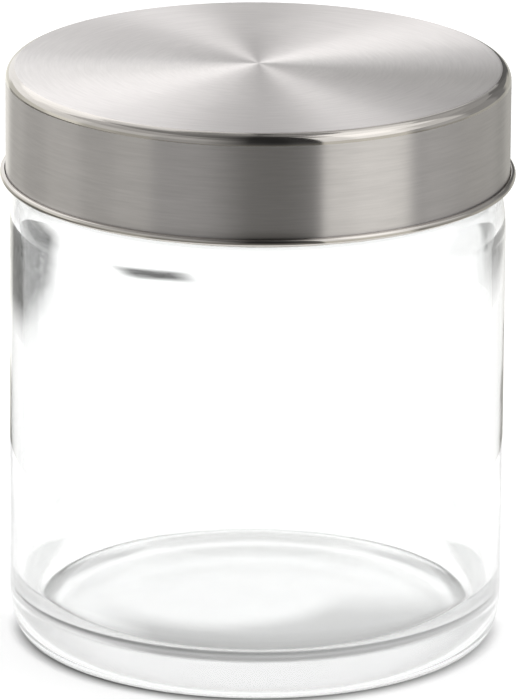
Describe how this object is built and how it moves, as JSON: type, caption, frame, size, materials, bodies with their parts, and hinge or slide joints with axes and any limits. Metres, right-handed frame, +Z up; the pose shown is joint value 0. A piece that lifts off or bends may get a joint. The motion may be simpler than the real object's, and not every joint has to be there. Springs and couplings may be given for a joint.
{
  "type": "candy jar with screw lid",
  "caption": "Round clear glass jar for sweets or dry food, with a wide threaded neck and a flat brushed steel lid that unscrews and lifts off.",
  "frame": {"origin": "middle of the ring that the jar stands on", "axes": "+Z up, along the axis of the jar and of its screw lid"},
  "size_m": [0.1106, 0.1106, 0.1256],
  "materials": {
    "clear_glass": "polished, clear",
    "brushed_steel": "spun brushing on the top, brushed round the skirt, polished bead",
    "moulded_plastic": "as moulded, satin white",
    "soft_rubber": "matt, translucent white"
  },
  "bodies": {
    "jar": {"glass_jar": "clear_glass"},
    "seal": {"sealing_ring": "soft_rubber"},
    "lid": {"screw_insert": "moulded_plastic", "lid_shell": "brushed_steel"}
  },
  "joints": [
    {"name": "lid_rise", "type": "slide", "parent": "jar", "child": "seal", "axis": [0, 0, 1], "range_m": [0, 0.06001]},
    {"name": "lid_turn", "type": "hinge", "parent": "seal", "child": "lid", "pos_m": [0, 0, 0.1015], "axis": [0, 0, 1], "range_deg": [0, 1080]}
  ],
  "couplings": [
    {"joint": "lid_rise", "follows": "lid_turn", "m_per_rad": 0.0031831}
  ]
}
